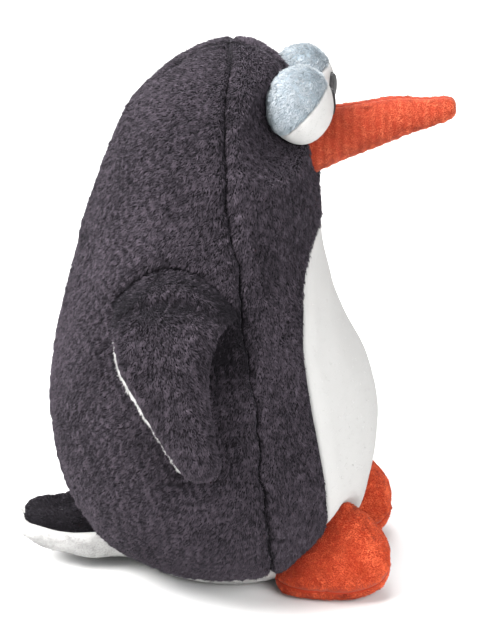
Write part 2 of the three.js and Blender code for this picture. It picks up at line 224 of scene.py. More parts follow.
EYE = {"side": 14.4, "y": -35, "z": 228.6, "radius": 14.5, "stretch": 1.2}
EYES_MEET = 0.25  # each eye is pressed flat against the other, this far from the middle
WING_ROOT = {"y": 17.1, "half": 25.8, "top": 165.2, "drop": 18}  # the arc that a wing is sewn along
FOOT = {"side": 30.4, "toe": -76.5, "heel": -26, "half": 16.6, "seam": 7.5, "top": 43, "peak": 0.42}

# The dart at the lower back and two tucks above each foot: degrees round from the back, lowest
# and highest level, depth.
PUCKERS = ((66.8, 22, 47, 1.3), (128.5, 47, 55, 1.2), (119.5, 33, 41, 1.2))

# A finer table of the body's levels; the crown is rounded off by a mirrored last row.
_crown = np.array(BODY_LEVELS[-1]) * 2 - np.array(BODY_LEVELS[-2])
_crown[0] = BODY_LEVELS[-2][0]
LEVELS = through(BODY_LEVELS + (tuple(_crown),), np.linspace(0, len(BODY_LEVELS) - 1, 1400))


def body_section(z):
    """The middle, half depth and half width of the body at a height."""
    back, front, half = (np.interp(z, LEVELS[:, 0], LEVELS[:, i]) for i in (1, 2, 3))
    return (back + front) / 2, (back - front) / 2, half


def smooth_body(angle, z):
    """The body's surface before any cloth is pulled in or puffed out."""
    middle, deep, half = body_section(z)
    return np.stack([half * np.sin(angle), middle + deep * np.cos(angle), z], -1)


def side_seam(z):
    """Angle of the side seam from the middle of the back, in radians."""
    heights, turns = zip(*SIDE_SEAM)
    wobble = 0.45 * np.sin(z * 0.31) + 0.3 * np.sin(z * 0.83 + 1)
    return np.radians(90 + np.interp(z, heights, turns) + wobble * smooth_step(z, 235, 200))


def belly_edge(z):
    """Angle of the belly's edge from the middle of the front, in radians."""
    low = BELLY_HALF_ANGLE - 0.0025 * (BELLY_WIDEST_Z - z) ** 2
    rise = np.clip((z - BELLY_WIDEST_Z) / (BELLY_TOP_Z - BELLY_WIDEST_Z), 0, 1)
    high = BELLY_HALF_ANGLE * np.sqrt(1 - rise ** 2.1)
    return np.radians(np.where(z < BELLY_WIDEST_Z, low, high))


def eye_centre(side):
    """The middle of an eye's ball."""
    return np.array([side * EYE["side"], EYE["y"], EYE["z"]])


def eye_distance(points, side):
    """How far points are from an eye's middle, where 1 is its surface."""
    away = points - eye_centre(side)
    away = away / (EYE["radius"] * np.array([1, 1, EYE["stretch"]]))
    return np.linalg.norm(away, axis=-1)


def foot_roof(v):
    """Height of a foot's ridge, and its half width, from toe to heel."""
    peak = FOOT["peak"]
    front = (1 - np.clip(1 - v / peak, 0, 1) ** 1.9) ** 0.62
    behind = 1 - 0.72 * np.clip((v - peak) / (1 - peak), 0, 1) ** 1.3
    bow = np.clip(1 - np.abs(2 * v - 1) ** 2.1, 0, 1) ** (1 / 2.1)
    return FOOT["top"] * np.where(v < peak, front, behind), FOOT["half"] * bow


def foot_distance(points, side):
    """How far points are from the middle of a foot, where 1 is about its surface."""
    v = (points[:, 1] - FOOT["toe"]) / (FOOT["heel"] - FOOT["toe"])
    top, half = foot_roof(np.clip(v, 0.02, 0.98))
    across = (points[:, 0] - side * FOOT["side"]) / half
    ends = np.maximum(np.abs(2 * v - 1) - 1, 0) * 2
    return np.sqrt(across ** 2 + np.clip(points[:, 2] / top, 0, 9) ** 2.2) + ends


def root_arc(y):
    """Height of the line that a wing is sewn along."""
    return WING_ROOT["top"] - WING_ROOT["drop"] * ((y - WING_ROOT["y"]) / WING_ROOT["half"]) ** 2


def wing_hollow(points):
    """Where the body is drawn in under the front edge of each wing: 1 in the middle."""
    level = smooth_step(points[:, 2], 102, 130) * smooth_step(points[:, 2], 153, 144)
    return hump(points[:, 1] + 3, 11) * level * (np.abs(points[:, 0]) > 30)


def relief(angle, z, points):
    """How far the stuffed cloth stands out from the smooth body, or in where it is pulled."""
    turn = np.abs((angle + math.pi) % (2 * math.pi) - math.pi)  # 0 at the back, pi in front
    _, deep, half = body_section(z)
    reach = np.maximum((deep + half) / 2, 4)
    out = 0.7 * waver(points, 34, 11) + 0.3 * waver(points, 13, 12)
    fade = smooth_step(reach, 6, 26)
    for seam, depth in ((side_seam(z), 2.3), (math.pi - belly_edge(z), 1.0), (0 * z, 1.4)):
        away = np.abs(turn - seam) * reach
        near = smooth_step(z, 200, 160) if depth == 1.0 else 1
        out = out - near * fade * (depth * hump(away, 1.5) - 0.5 * hump(away - 7, 4.5))
    # a gathered tuft where the panels meet at the crown
    out = out + 1.1 * hump(z - 250, 2.5)
    # small gathers run into the side seam and the rim
    gathers = 0.35 * np.sin(z * 0.9 + 2 * np.sin(z * 0.11))
    out = out + gathers * hump((turn - side_seam(z)) * reach, 7) * fade
    out = out + 0.35 * np.sin(angle * 46) * hump(z - RIM_Z, 7)
    for at, low, high, depth in PUCKERS:
        away = (turn - math.radians(at)) * reach - 0.25 * (z - (low + high) / 2)
        pull = depth * hump(away, 1.5) * smooth_step(z, low - 5, low)
        out = out - pull * smooth_step(z, high + 5, high)
    # the line where the top of each wing is sewn on
    over = points[:, 2] - root_arc(points[:, 1])
    from_middle = np.abs(points[:, 1] - WING_ROOT["y"])
    near = smooth_step(from_middle, WING_ROOT["half"] + 3, WING_ROOT["half"] - 4)
    out = out - near * 2.4 * hump(over - 1.2, 1.5) + near * 1.0 * hump(over - 8, 5)
    for _, side in SIDES:
        out = out - 3.4 * hump(np.maximum(foot_distance(points, side) - 0.95, 0), 0.2)
    return out - 5.0 * wing_hollow(points)


def sunk_round_eyes(points, inset):
    """The sides of the head are drawn in round each eye, so that the whole ball stands clear."""
    height = (points[:, 2] - EYE["z"]) / EYE["stretch"]
    away = np.hypot(points[:, 1] - EYE["y"], height) / EYE["radius"]
    limit = EYE["side"] - inset + 16 * np.maximum(away - 1.02, 0) ** 1.15 / 0.5
    out = np.abs(points[:, 0])
    nearer = np.minimum(out, limit)
    softened = nearer - SOCKET_SOFTNESS * np.log1p(np.exp(-np.abs(out - limit) / SOCKET_SOFTNESS))
    points[:, 0] = np.sign(points[:, 0]) * np.maximum(softened, 0)
    return points


def rim_lift(angle):
    """How far above RIM_Z the body's lower seam runs, more in front than at the back."""
    turn = np.degrees(np.abs((angle + math.pi) % (2 * math.pi) - math.pi))
    return 1.8 + 4.2 * smooth_step(turn, 66, 122)


def body_normal(angle, z):
    step = 0.01
    along = smooth_body(angle + step, z) - smooth_body(angle - step, z)
    up = smooth_body(angle, np.minimum(z + step, 249.99)) - smooth_body(angle, z - step)
    return unit(np.cross(up, along))


def body_surface(angle, z, inset=0.0):
    """The outside of the stuffed body, or a surface that lies deeper by the inset."""
    points = smooth_body(angle, z)
    points = points + body_normal(angle, z) * (relief(angle, z, points) - inset)[:, None]
    closing = smooth_step(z, CROWN_Z, CROWN_Z - 2.2)[:, None] ** 0.5
    points[:, :2] = CROWN + (points[:, :2] - CROWN) * closing
    return sunk_round_eyes(points, inset)


# ---- making skins ----


def read(items, name, width, kind=np.float32):
    """One property of a mesh's items, as an array with a row to each."""
    flat = np.empty(len(items) * width, kind)
    items.foreach_get(name, flat)
    return flat.reshape(-1, width)


def read_points(piece):
    return read(piece.data.vertices, "co", 3).astype(float)


def write_points(piece, points):
    piece.data.vertices.foreach_set("co", np.asarray(points, np.float32).ravel())
    piece.data.update()


def add_grid(name, surface, columns, rows, seams=(0, 1), crowd=0.0, rim=False):
    """A flat grid laid on surface(u, v).

    seams are the values of u that are sewn; crowd brings the columns closer together at u = 0
    and u = 1, and rim says that the edge at v = 0 is sewn too. Two attributes are left on the
    mesh: "edge" is the distance to the nearest seam, and "first_half" marks faces with u < 1/2.
    """
    deselect_all()
    bpy.ops.mesh.primitive_grid_add(x_subdivisions=columns, y_subdivisions=rows, size=1)
    piece = bpy.context.object
    piece.name = name
    piece.data.name = name
    flat = read_points(piece)
    u, v = flat[:, 0] + 0.5, flat[:, 1] + 0.5
    column, row = np.rint(u * columns).astype(int), np.rint(v * rows).astype(int)
    u = column / columns
    points = surface(u - crowd * np.sin(2 * math.pi * u) / (2 * math.pi), row / rows)
    grid = np.zeros((rows + 1, columns + 1, 3))
    grid[row, column] = points
    along = np.cumsum(np.linalg.norm(np.diff(grid, axis=1, prepend=grid[:, :1]), axis=2), axis=1)
    edge = np.min([np.abs(along - along[:, [round(s * columns)]]) for s in seams], axis=0)
    if rim:
        upward = np.cumsum(np.linalg.norm(np.diff(grid, axis=0, prepend=grid[:1]), axis=2), axis=0)
        edge = np.minimum(edge, upward)
    first_half = [polygon.center.x < 0 for polygon in piece.data.polygons]
    piece.data.attributes.new("first_half", "BOOLEAN", "FACE").data.foreach_set("value", first_half)
    write_points(piece, points * MM)
    attribute = piece.data.attributes.new("edge", "FLOAT", "POINT")
    attribute.data.foreach_set("value", edge[row, column].astype(np.float32))
    return piece


def activate(piece):
    """Makes a piece the only one selected."""
    deselect_all()
    piece.select_set(True)
    bpy.context.view_layer.objects.active = piece


def edit(operator, **how):
    """Runs one of Blender's mesh operators on the active piece."""
    bpy.ops.object.mode_set(mode="EDIT")
    operator(**how)
    bpy.ops.object.mode_set(mode="OBJECT")


def join_doubles(piece):
    """Closes a grid that meets itself, at a pole or along a seam."""
    activate(piece)
    edit(bpy.ops.mesh.select_all, action="SELECT")
    edit(bpy.ops.mesh.remove_doubles, threshold=0.00004)


def add_closed(name, surface, columns, rows, **sewn):
    """A grid that closes on itself round u and at both ends of v."""
    piece = add_grid(name, surface, columns, rows, **sewn)
    join_doubles(piece)
    edit(bpy.ops.mesh.normals_make_consistent, inside=False)
    return piece


def apply_modifier(piece, modifier):
    bpy.context.view_layer.objects.active = piece
    bpy.ops.object.modifier_apply(modifier=modifier.name)


def face_out(piece, centre):
    """Turns the faces of a single sheet away from a line or point inside it."""
    mesh = piece.data
    middles = np.array([p.center for p in mesh.polygons])
    normals = np.array([p.normal for p in mesh.polygons])
    areas = np.array([p.area for p in mesh.polygons])
    if (np.einsum("ij,ij->i", normals, middles - centre(middles)) * areas).sum() < 0:
        mesh.flip_normals()


def triangles_of(mesh):
    mesh.calc_loop_triangles()
    return read(mesh.loop_triangles, "vertices", 3, np.int32)


def scatter(piece, density, rng):
    """Roots of the pile: random points on a sheet, their normals and their distance to a seam."""
    mesh = piece.data
    points = read_points(piece) / MM
    normals = read(mesh.vertex_normals, "vector", 3)
    edge = read(mesh.attributes["edge"].data, "value", 1)[:, 0]
    triangles = triangles_of(mesh)
    a, b, c = (points[triangles[:, i]] for i in range(3))
    area = np.linalg.norm(np.cross(b - a, c - a), axis=1) / 2
    count = rng.poisson(area * density)
    pick = np.repeat(np.arange(len(triangles)), count)
    share = rng.dirichlet((1, 1, 1), len(pick))
    corner = triangles[pick]
    roots = np.einsum("ij,ijk->ik", share, points[corner])
    ways = unit(np.einsum("ij,ijk->ik", share, normals[corner]))
    return roots, ways, np.einsum("ij,ij->i", share, edge[corner])


CLUMP_SIZE = 1.3
CLUMP_SHAPE = np.array([1, 1, 0.45])  # clumps are longer up and down than they are wide
PILE_DEPTH = 0.25  # how deep in the cloth a tuft starts


def grow_pile(piece, pile, comb, tone, keep, seed):
    """Tufts for a sheet: each is a bent kite with a root, two sides and a tip.

    comb(points) gives the way the pile lies, tone(points) a share from dark to light, and
    keep(points) says where there is pile at all.
    """
    rng = np.random.default_rng(seed)
    roots, normals, edge = scatter(piece, pile["density"], rng)
    count = len(roots)
    # a seam pulls the pile in, and the pile is shortest there
    short = 0.3 + 0.7 * smooth_step(edge, 0, 2.6)
    length = pile["length"] * rng.normal(1, 0.16, count).clip(0.5, 1.5) * short
    length *= 1 + 0.18 * waver(roots, 2.4, seed + 1)
    way = comb(roots)
    way = unit(way - normals * np.einsum("ij,ij->i", way, normals)[:, None])
    beside = np.cross(normals, way)
    swing = pile["stray"] * (0.9 * waver(roots, 2.2, seed + 2) + 0.35 * waver(roots, 7, seed + 3)
                             + 0.55 * rng.normal(size=count))
    way = way * np.cos(swing)[:, None] + beside * np.sin(swing)[:, None]
    beside = np.cross(normals, way)
    lean = np.radians(pile["lean"]) + 0.16 * rng.normal(size=count)
    lean = (lean + 0.14 * waver(roots, 2.6, seed + 4)).clip(0.15, 1.45)

    def step_along(angle, part):
        lift = normals * np.cos(angle)[:, None] + way * np.sin(angle)[:, None]
        return lift * (length * part)[:, None]

    root = roots - normals * PILE_DEPTH
    middle = root + step_along(lean - 0.28, 0.5)
    tip = middle + step_along(np.minimum(lean + 0.22, 1.5), 0.5)
    roll = pile.get("roll", 0.45) * rng.normal(size=count)
    side = beside * np.cos(roll)[:, None] + normals * np.sin(roll)[:, None]
    side *= (pile["width"] / 2 * rng.uniform(0.7, 1.3, count))[:, None]
    wanted = keep(roots) & keep(tip) & (edge > pile.get("bare", 0))
    kites = np.stack([root, middle - side, tip, middle + side], 1)[wanted]
    # painted highlight on the clumps and painted shade in the thin partings between them, with a little
    # random tone
    clump_shading = waver(roots * CLUMP_SHAPE, CLUMP_SIZE, seed + 5)
    mottle = 0.14 * clump_shading - 0.28 * hump(clump_shading, 0.18) + 0.12 * rng.normal(size=count)
    tones = tone(roots) + pile["clump_shading"] * mottle
    # painted shade where the pile parts into the valley of a seam
    tones -= pile.get("painted_seam_shading", 0) * hump(edge, pile.get("seam_reach", 1.6))
    return kites, tones[wanted].clip(0.02, 0.98)


def dress(piece, pile, comb, tone, material, body, nodes, slot, keep=None, fill=0.8, seed=1, blend=None):
    """Gives a sheet its thickness, its pile and its material, moves it with its body and hides the frame's
    nodes that it stands in for.
    """
    keep = keep or (lambda points: np.ones(len(points), bool))
    kites, tones = grow_pile(piece, pile, comb, tone, keep, seed)
    wall = piece.modifiers.new("thickness", "SOLIDIFY")
    wall.thickness = CLOTH * MM
    wall.offset = -1
    wall.use_even_offset = False
    apply_modifier(piece, wall)

    points = read_points(piece)
    corners = triangles_of(piece.data)
    skin_tones = tone(points / MM).clip(0.02, 0.98)
    count = len(kites)
    first = len(points) + 4 * np.arange(count)[:, None]
    kite_corners = np.concatenate([first + [0, 1, 3], first + [1, 2, 3]], 1).reshape(-1, 3)
    all_points = np.concatenate([points, kites.reshape(-1, 3) * MM])
    all_corners = np.concatenate([corners, kite_corners]).astype(np.int32)
    across = np.concatenate([skin_tones, np.repeat(tones, 4)])
    up = np.concatenate([np.full(len(points), 0.03), np.tile([0.03, 0.55, 0.97, 0.55], count)])

    mesh = bpy.data.meshes.new(piece.name)
    mesh.vertices.add(len(all_points))
    mesh.vertices.foreach_set("co", all_points.astype(np.float32).ravel())
    mesh.loops.add(all_corners.size)
    mesh.loops.foreach_set("vertex_index", all_corners.ravel())
    mesh.polygons.add(len(all_corners))
    mesh.polygons.foreach_set("loop_start", np.arange(0, all_corners.size, 3, dtype=np.int32))
    mesh.update(calc_edges=True)
    pile_map = mesh.uv_layers.new(name=PILE_MAP)
    flat = all_corners.ravel()
    pile_map.data.foreach_set("uv", np.stack([across[flat], up[flat]], 1).astype(np.float32).ravel())
    mesh.polygons.foreach_set("use_smooth", np.ones(len(all_corners), bool))
    mesh.materials.append(material)
    piece.data = mesh
    settle(piece, body, blend)
    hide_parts(*nodes)
    return piece


# ---- finishes ----

ROOT_SHADE_REACH = 0.55  # share of a tuft's length that is tinted by the painted shade colour at its root


def plush_material(name, dark, light, root, sheen, sheen_tint):
    """Pile whose tone comes from across its map, and which is tinted down at its roots with a painted shade
    colour.
    """
    material, nodes, links, shader = new_material(name, 0.85)
    shader.inputs["Specular IOR Level"].default_value = 0.12
    shader.inputs["Sheen Weight"].default_value = sheen
    shader.inputs["Sheen Roughness"].default_value = 0.45
    shader.inputs["Sheen Tint"].default_value = (*sheen_tint, 1)
    pile_map = nodes.new("ShaderNodeUVMap")
    pile_map.uv_map = PILE_MAP
    apart = nodes.new("ShaderNodeSeparateXYZ")
    links.new(pile_map.outputs["UV"], apart.inputs["Vector"])
    tone = nodes.new("ShaderNodeValToRGB")
    tone.color_ramp.elements[0].color = (*dark, 1)
    tone.color_ramp.elements[1].color = (*light, 1)
    links.new(apart.outputs["X"], tone.inputs["Fac"])
    height = nodes.new("ShaderNodeMapRange")
    height.inputs["From Max"].default_value = ROOT_SHADE_REACH
    links.new(apart.outputs["Y"], height.inputs["Value"])
    blend = nodes.new("ShaderNodeMix")
    blend.data_type = "RGBA"
    blend.inputs["A"].default_value = (*root, 1)
    links.new(height.outputs["Result"], blend.inputs["Factor"])
    links.new(tone.outputs["Color"], blend.inputs["B"])
    links.new(blend.outputs["Result"], shader.inputs["Base Color"])
    return material


def add_bump(nodes, links, shader, pattern, depth):
    """Shades a pattern as raised."""
    bump = nodes.new("ShaderNodeBump")
    bump.inputs["Distance"].default_value = depth
    links.new(pattern.outputs["Fac"], bump.inputs["Height"])
    links.new(bump.outputs["Normal"], shader.inputs["Normal"])


def fibre_material(name, colour, grain, depth):
    """Matted fibre or coarse cloth for what lies inside."""
    material, nodes, links, shader = new_material(name, 0.95)
    place = nodes.new("ShaderNodeTexCoord")
    noise = nodes.new("ShaderNodeTexNoise")
    noise.inputs["Scale"].default_value = grain
    noise.inputs["Detail"].default_value = 6
    links.new(place.outputs["Object"], noise.inputs["Vector"])
    tone = nodes.new("ShaderNodeValToRGB")
    tone.color_ramp.elements[0].color = (*(0.7 * c for c in colour), 1)
    tone.color_ramp.elements[1].color = (*colour, 1)
    links.new(noise.outputs["Fac"], tone.inputs["Fac"])
    links.new(tone.outputs["Color"], shader.inputs["Base Color"])
    add_bump(nodes, links, shader, noise, depth)
    return material


def embroidery_material(threads):
    """Close satin stitches of black thread."""
    material, nodes, links, shader = new_material("satin_stitch", 0.42)
    shader.inputs["Base Color"].default_value = (0.012, 0.012, 0.014, 1)
    place = nodes.new("ShaderNodeTexCoord")
    thread = nodes.new("ShaderNodeTexWave")
    thread.bands_direction = "Z"
    thread.inputs["Scale"].default_value = threads
    thread.inputs["Distortion"].default_value = 0.6
    links.new(place.outputs["Object"], thread.inputs["Vector"])
    add_bump(nodes, links, shader, thread, 0.0003)
    return material


# Each pile's dark and light tone, the painted shade colour at its roots, its sheen and the sheen's tint.
DARK = plush_material("dark_pile", (0.0055, 0.0048, 0.0065), (0.084, 0.069, 0.087),
                      (0.003, 0.0027, 0.0035), 0.10, (0.80, 0.72, 0.88))
WHITE = plush_material("white_pile", (0.33, 0.328, 0.322), (0.58, 0.576, 0.568), (0.42, 0.417, 0.41),
                       0.03, (1, 1, 1))
BLUE = plush_material("blue_pile", (0.13, 0.17, 0.195), (0.35, 0.38, 0.405), (0.17, 0.21, 0.24),
                      0.06, (0.95, 0.97, 1))
ORANGE = plush_material("orange_pile", (0.38, 0.033, 0.009), (0.84, 0.17, 0.070), (0.29, 0.023, 0.008),
                        0.15, (1, 0.66, 0.5))
RIBBED = plush_material("ribbed_pile", (0.31, 0.035, 0.014), (0.63, 0.15, 0.071), (0.23, 0.023, 0.009),
                        0.15, (1, 0.7, 0.55))
FIBRE = fibre_material("stuffing_fibre_tangle", (0.86, 0.85, 0.82), 260, 0.002)
POUCH = fibre_material("pouch_weave", (0.62, 0.57, 0.46), 900, 0.0006)
STITCHES = embroidery_material(threads=520)  # about two threads to the millimetre

# Tufts to a square millimetre, length and width in millimetres, lean from upright in degrees, how far the lie
# of the pile strays, in radians, and how strongly its clumps are painted with highlight and shade. bare is a
# strip without pile beside a seam, roll how far tufts turn over, and the seam shading value how much painted
# shade darkens tufts at a seam; a negative value paints a highlight there instead.
LONG_PILE = {"density": 5.8, "length": 2.0, "width": 0.42, "lean": 58, "stray": 0.36, "clump_shading": 1.15,
             "bare": 0.15, "painted_seam_shading": 0.5}
WHITE_PILE = {"density": 3.2, "length": 0.7, "width": 0.5, "lean": 82, "stray": 0.5, "clump_shading": 0.1,
              "roll": 0.12}
EYE_PILE = {"density": 6.5, "length": 1.5, "width": 0.30, "lean": 62, "stray": 0.3, "clump_shading": 0.3}
EYE_WHITE_PILE = {"density": 4.0, "length": 0.6, "width": 0.3, "lean": 72, "stray": 0.5, "clump_shading": 0.1}
FOOT_PILE = {"density": 7.0, "length": 1.1, "width": 0.32, "lean": 56, "stray": 0.7, "clump_shading": 0.9}
BEAK_PILE = {"density": 8.0, "length": 0.8, "width": 0.28, "lean": 54, "stray": 0.7, "clump_shading": 0.7}


# ---- body panels ----


def body_axis(points):
    """The upright line that the body's faces look away from."""
    return np.column_stack([points[:, 0] * 0, points[:, 0] * 0, points[:, 2] * 0.7 + 0.03])


def clear_of_parts(points):
    """Where the body's pile isn't inside an eye, the beak or a foot."""
    clear = np.ones(len(points), bool)
    for _, side in SIDES:
        clear &= eye_distance(points, side) > 1.03
        clear &= foot_distance(points, side) > 0.97
    nose = np.hypot(points[:, 0], points[:, 2] - 206)
    clear &= (nose > 13.6) | (points[:, 1] > -30)
    return clear


def body_comb(points):
    """Down, and on the back panels also backwards."""
    back = smooth_step(points[:, 1], -20, 10)
    behind = 0.15 + 0.75 * back
    away = np.sign(points[:, 0]) * 0.2
    return np.column_stack([away * (1 - back), behind, -np.ones(len(points))])


def body_tone(points):
    """Painted shade: a little darker at the back, to even it out against the light from behind, and dark
    along each wing's root, in its hollow and under its tip; the wavers are a random tone.
    """
    back = smooth_step(points[:, 1], -30, 50)
    # painted shade: darker at the back against the light from behind, over a random tone
    tone = 0.52 - 0.14 * back + 0.05 * waver(points, 11, 21) + 0.04 * waver(points, 30, 22)
    over = points[:, 2] - root_arc(points[:, 1])
    at_wing = np.abs(points[:, 1] - WING_ROOT["y"]) < WING_ROOT["half"] + 2
    # painted shade in the crease along each wing's root
    tone = tone - 0.95 * hump(over - 1.7, 1.4) * at_wing * (np.abs(points[:, 0]) > 30)
    # painted shadow on the body under each wing's tip
    painted_tip_shadow = hump(np.hypot((points[:, 1] - 6) / 17, (points[:, 2] - 84) / 16), 1)
    painted_tip_shadow = painted_tip_shadow * (np.abs(points[:, 0]) > 30)
    # painted shade in the hollow under each wing's front edge
    return tone - 0.5 * wing_hollow(points) - 0.26 * painted_tip_shadow


def panel(start, end, low, high):
    """A surface between two seams, from a low height to a high one."""
    def surface(u, v):
        # rows crowd together towards the crown, where the body turns in
        z = low + (high - low) * (v + 0.10 * np.sin(math.pi * v))
        z = np.minimum(z, high)
        angle = start(z) + (end(z) - start(z)) * u
        return body_surface(angle, z + rim_lift(angle) * (1 - v) ** 6)
    return surface


def make_panel(node, start, end, top, columns, rows, crowd, **looks):
    """One panel of the body, between two seams."""
    piece = add_grid(f"{node}_plush", panel(start, end, RIM_Z, top), columns, rows, crowd=crowd, rim=True)
    face_out(piece, body_axis)
    dress(piece, comb=body_comb, body="body", nodes=[node], keep=clear_of_parts, **looks)


def make_body():
    """A back panel and a side panel on each side, and the belly."""
    def middle_back(z):
        return 0 * z

    def belly_side(z):
        return math.pi - belly_edge(z)

    def far_belly_side(z):
        return math.pi + belly_edge(z)

    dark = {"pile": LONG_PILE, "tone": body_tone, "material": DARK, "slot": "dark_plush"}
    for name, side in SIDES:
        def seam(z):
            return side * side_seam(z)

        def front_seam(z):
            return side * belly_side(z)

        make_panel(f"back_panel_{name}", middle_back, seam, CROWN_Z, 66, 96, 0.6, **dark, seed=100 + side)
        make_panel(f"side_panel_{name}", seam, front_seam, CROWN_Z, 44, 110, 0.5, **dark, seed=200 + side)
    make_panel("belly_panel", belly_side, far_belly_side, BELLY_TOP_Z - 0.05, 44, 70, 0.4,
               pile=WHITE_PILE, tone=mottled(0.5, 0.05, 14, 31), material=WHITE, slot="white_plush", seed=301)


BASE_FLAT = {"middle": -1.0, "deep": 31.0, "half": 26.0}  # the part of the base that it stands on
BASE_LIFT = 0.35  # height of its cloth, on the pressed pile


def make_base():
    """A shallow dish, flat where it stands and turned up to the rim."""
    def surface(u, v):
        angle = u * 2 * math.pi
        rim = RIM_Z + rim_lift(angle)
        _, deep, half = body_section(rim)
        grow = smooth_step(v, 0.45, 1.0) * 0.55 + 0.45 * np.clip((v - 0.45) / 0.55, 0, 1)
        share = np.minimum(v / 0.45, 1)
        reach_y = (BASE_FLAT["deep"] + (deep - BASE_FLAT["deep"]) * grow) * share
        reach_x = (BASE_FLAT["half"] + (half - BASE_FLAT["half"]) * grow) * share
        lift = rim * np.clip((v - 0.5) / 0.5, 0, 1) ** 1.6
        y = BASE_FLAT["middle"] + reach_y * np.cos(angle)
        return np.column_stack([reach_x * np.sin(angle), y, lift + BASE_LIFT])

    def outwards(points):
        return np.column_stack([points[:, :2], np.full(len(points), 0.01)])

    base = add_grid("base_panel_plush", surface, 72, 20)
    join_doubles(base)
    face_out(base, same_way(0, 0, 0.05))
    dress(base, dict(WHITE_PILE, length=0.8, lean=72), outwards, mottled(0.7, 0.1, 9, 32), WHITE, "body",
          ["base_panel"], "white_plush", keep=lambda p: p[:, 2] > 0.02, seed=302)


# ---- eyes ----

LID_EDGE = 84  # degrees from the middle of the white to the edge of the lid
LID_GAP = 0.3  # degrees from the seam at the lid's edge to each of the two skins
WHITE_TILT = 48  # degrees that the middle of the white looks down
WHITE_TURN = 6  # degrees that it looks inwards


def eye_point(polar, turn, side, swell=0.0):
    """A point on an eye, from the middle of its white: polar angle out from it, turn round it."""
    radius = EYE["radius"] + swell
    x = radius * np.sin(polar) * np.cos(turn)
    y = radius * np.sin(polar) * np.sin(turn)
    z = radius * np.cos(polar)
    tilt = math.radians(90 + WHITE_TILT)
    y, z = y * math.cos(tilt) - z * math.sin(tilt), y * math.sin(tilt) + z * math.cos(tilt)
    inwards = math.radians(side * WHITE_TURN)
    x, y = x * math.cos(inwards) + y * math.sin(inwards), y * math.cos(inwards) - x * math.sin(inwards)
    points = np.column_stack([x, y, z * EYE["stretch"]]) + eye_centre(side)
    points[:, 0] = side * np.maximum(side * points[:, 0], EYES_MEET)
    return points


def make_eyes():
    for name, side in SIDES:
        def half_ball(start, end):
            """The ball between two polar angles, dipped where the lid meets the white."""
            def surface(u, v):
                polar = np.radians(start + (end - start) * v)
                dip = -0.5 * hump((np.degrees(polar) - LID_EDGE) * 0.26, 0.8)
                lumps = 0.16 * waver(eye_point(polar, u * 2 * math.pi, side), 9, 41)
                return eye_point(polar, u * 2 * math.pi, side, dip + lumps)
            return surface

        def lid_tone(points):
            """Darker and streaked down towards the lid's edge."""
            low = smooth_step(points[:, 2], EYE["z"] + 10, EYE["z"] - 8)
            streak = waver(points * np.array([1, 1.5, 0.6]), 2.6, 42)
            return 0.84 - 0.24 * low + (0.08 + 0.14 * low) * streak

        # painted shade: the white's tone is kept far below the belly's, for its downward face
        white = ("eye_white", 0, LID_EDGE - LID_GAP, 56, 26, EYE_WHITE_PILE, mottled(0.1, 0.05, 8, 43),
                 WHITE, "white_plush", 400)
        lid = ("eyelid", 180, LID_EDGE + LID_GAP, 60, 34, EYE_PILE, lid_tone, BLUE, "blue_plush", 420)
        for node, start, end, columns, rows, pile, tone, material, slot, seed in (white, lid):
            piece = add_grid(f"{node}_{name}_plush", half_ball(start, end), columns, rows, seams=(0,))
            join_doubles(piece)
            face_out(piece, same_way(*(eye_centre(side) * MM)))
            dress(piece, pile, same_way(0, 0.75, -1), tone, material, "body", [f"{node}_{name}"], slot,
                  seed=seed + side)


# ---- beak ----

# From inside the face to the tip: y, height of the middle, radius.
BEAK_LINE = (
    (-34, 204, 14.2),
    (-46.5, 208.6, 13.2),
    (-57, 212.2, 11.9),
    (-70, 216.3, 10.4),
    (-82, 219.3, 8.3),
    (-93, 221.6, 6.5),
    (-99, 222.7, 5.6),
    (-102.2, 223.1, 3.6),
    (-103, 223.2, 0.01),
)
RIB_SPACING = 3.9
RIB_HEIGHT = 0.13


def beak_line(v):
    """y, height and radius along the beak, from its root at v = 0 to its tip."""
    return through(BEAK_LINE, v * (len(BEAK_LINE) - 1)).T


def make_beak():
    """Two ribbed half cones, sewn together above and below."""
    def half_cone(side):
        def surface(u, v):
            y, z, radius = beak_line(v)
            ribs = RIB_HEIGHT * np.cos(y * 2 * math.pi / RIB_SPACING) * smooth_step(radius, 3, 6)
            angle = math.pi * u
            seam = 0.45 * hump(np.sin(angle) * radius, 1.2)
            size = np.maximum(radius + ribs - seam, 0.01)
            points = np.column_stack([side * size * np.sin(angle), y, z + size * np.cos(angle)])
            points[:, 2] += 0.25 * waver(points, 12, 51)
            return points
        return surface

    def beak_axis(points):
        y = points[:, 1] / MM
        heights = np.interp(-y, [-row[0] for row in BEAK_LINE], [row[1] for row in BEAK_LINE])
        return np.column_stack([0 * y, points[:, 1], heights * MM])

    def beak_tone(points):
        """Painted highlight on each rib and painted shade between them, over a random tone."""
        # painted highlight on the ribs and painted shade in the grooves
        ribs = 0.17 * np.cos(points[:, 1] * 2 * math.pi / RIB_SPACING)
        return 0.5 + 0.10 * waver(points, 5, 52) + ribs

    for name, side in SIDES:
        half = add_grid(f"beak_{name}_plush", half_cone(side), 30, 150)
        join_doubles(half)
        face_out(half, beak_axis)
        dress(half, BEAK_PILE, same_way(0, -1, -0.3), beak_tone, RIBBED, "body", [f"beak_{name}"],
              "orange_ribbed", seed=500 + side)


# ---- stuffed pads ----

FILLING_INSET = 2.1
PAD_FILLING_INSET = 0.4  # a pad's filling is already drawn in by its core


def pad_core(section, turn, v):
    """A point of a pad's filling: the section drawn in from its edges, its faces and its ends."""
    v = 0.1 + 0.84 * v
    one, other = section(turn, v), section(2 * math.pi - turn, v)
    centre = (section(0 * turn, v) + section(0 * turn + math.pi, v)) / 2
    middle, half = (one + other) / 2 - centre, (one - other) / 2
    across = np.linalg.norm(middle, axis=1, keepdims=True)
    thick = np.linalg.norm(half, axis=1, keepdims=True)
    middle *= np.maximum(1 - FILLING_INSET * 1.5 / np.maximum(across, 0.1) * (across > 1), 0.3)
    half *= np.maximum(1 - FILLING_INSET / np.maximum(thick, 0.1), 0.12)
    return centre + middle + half


